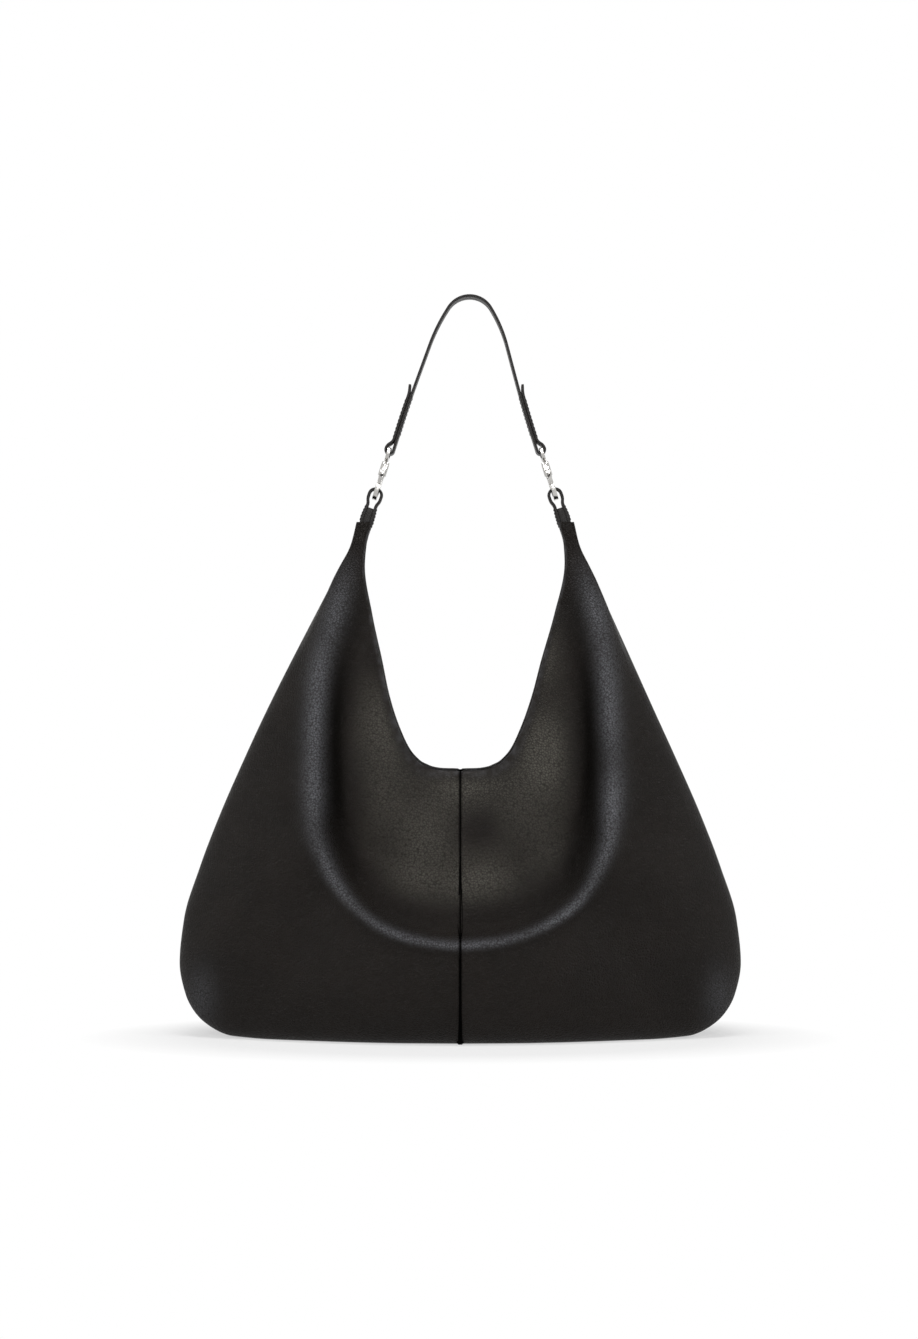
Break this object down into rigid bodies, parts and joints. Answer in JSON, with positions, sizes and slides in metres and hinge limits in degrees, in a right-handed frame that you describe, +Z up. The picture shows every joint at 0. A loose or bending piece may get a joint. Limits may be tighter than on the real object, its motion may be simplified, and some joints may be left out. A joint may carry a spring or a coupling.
{
  "type": "hobo bag",
  "caption": "Slouchy leather hobo bag with a deep curved mouth, gathered necks, a doubled shoulder strap on swivel trigger clasps, a magnetic snap and an inner zip pocket.",
  "frame": {"origin": "centre of the bounding box on the plane of the base", "axes": "+Z up, X across the bag from the left neck to the right neck, -Y is the front"},
  "size_m": [0.45, 0.1238, 0.595],
  "materials": {
    "leather": "soft fine-pebbled leather with a low sheen",
    "lining": "plain-weave lining cloth, matt",
    "zip_tape": "woven herringbone zip tape, matt",
    "zip_metal": "nickel-plated, lightly worn",
    "hardware": "polished nickel plate",
    "pin_steel": "drawn steel",
    "snap_metal": "satin nickel plate"
  },
  "bodies": {
    "bag": {"front_panel_left": "leather", "front_panel_right": "leather", "back_panel_left": "leather", "back_panel_right": "leather", "front_facing": "leather", "back_facing": "leather", "front_lining": "lining", "back_lining": "lining", "zip_pocket_bag": "lining", "left_tab": "leather", "right_tab": "leather", "left_tab_filler": "leather", "right_tab_filler": "leather", "snap_stud": "snap_metal", "snap_socket": "snap_metal", "snap_washer_front": "snap_metal", "snap_washer_back": "snap_metal", "zip_welt": "leather", "zip_tape_upper": "zip_tape", "zip_tape_lower": "zip_tape", "zip_teeth_upper": "zip_metal", "zip_teeth_lower": "zip_metal"},
    "strap": {"strap": "leather", "left_swivel_eye": "hardware", "right_swivel_eye": "hardware"},
    "left_hook": {"left_hook": "hardware", "left_gate_pin": "pin_steel", "left_gate_spring": "pin_steel"},
    "left_gate": {"left_gate": "hardware"},
    "right_hook": {"right_hook": "hardware", "right_gate_pin": "pin_steel", "right_gate_spring": "pin_steel"},
    "right_gate": {"right_gate": "hardware"},
    "zip_slider": {"zip_slider": "zip_metal"},
    "zip_pull": {"zip_pull": "zip_metal"}
  },
  "joints": [
    {"name": "strap_swing", "type": "hinge", "parent": "bag", "child": "strap", "pos_m": [0.004, 0, 0.4395], "axis": [1, 0, 0], "range_deg": [-50, 50]},
    {"name": "left_swivel", "type": "hinge", "parent": "strap", "child": "left_hook", "pos_m": [-0.06169, 0, 0.45476], "axis": [-0.3007, 0, -0.9537], "range_deg": [-8, 8]},
    {"name": "left_gate_hinge", "type": "hinge", "parent": "left_hook", "child": "left_gate", "pos_m": [-0.06229, -0.0071, 0.45285], "axis": [0.9537, 0, -0.3007], "range_deg": [0, 22], "stiffness_Nm_per_rad": 0.05, "springref_deg": -17.19, "deforming": ["left_gate_spring"]},
    {"name": "right_swivel", "type": "hinge", "parent": "strap", "child": "right_hook", "pos_m": [0.06969, 0, 0.45476], "axis": [-0.3007, 0, 0.9537], "range_deg": [-8, 8]},
    {"name": "right_gate_hinge", "type": "hinge", "parent": "right_hook", "child": "right_gate", "pos_m": [0.07029, -0.0071, 0.45285], "axis": [0.9537, 0, 0.3007], "range_deg": [0, 22], "stiffness_Nm_per_rad": 0.05, "springref_deg": -17.19, "deforming": ["right_gate_spring"]},
    {"name": "zip_slide", "type": "slide", "parent": "bag", "child": "zip_slider", "axis": [-1, 0, 0], "range_m": [0, 0.094]},
    {"name": "zip_pull_flip", "type": "hinge", "parent": "zip_slider", "child": "zip_pull", "pos_m": [0.047, 0.02663, 0.13957], "axis": [0, 0.153, -0.9882], "range_deg": [0, 170]}
  ]
}
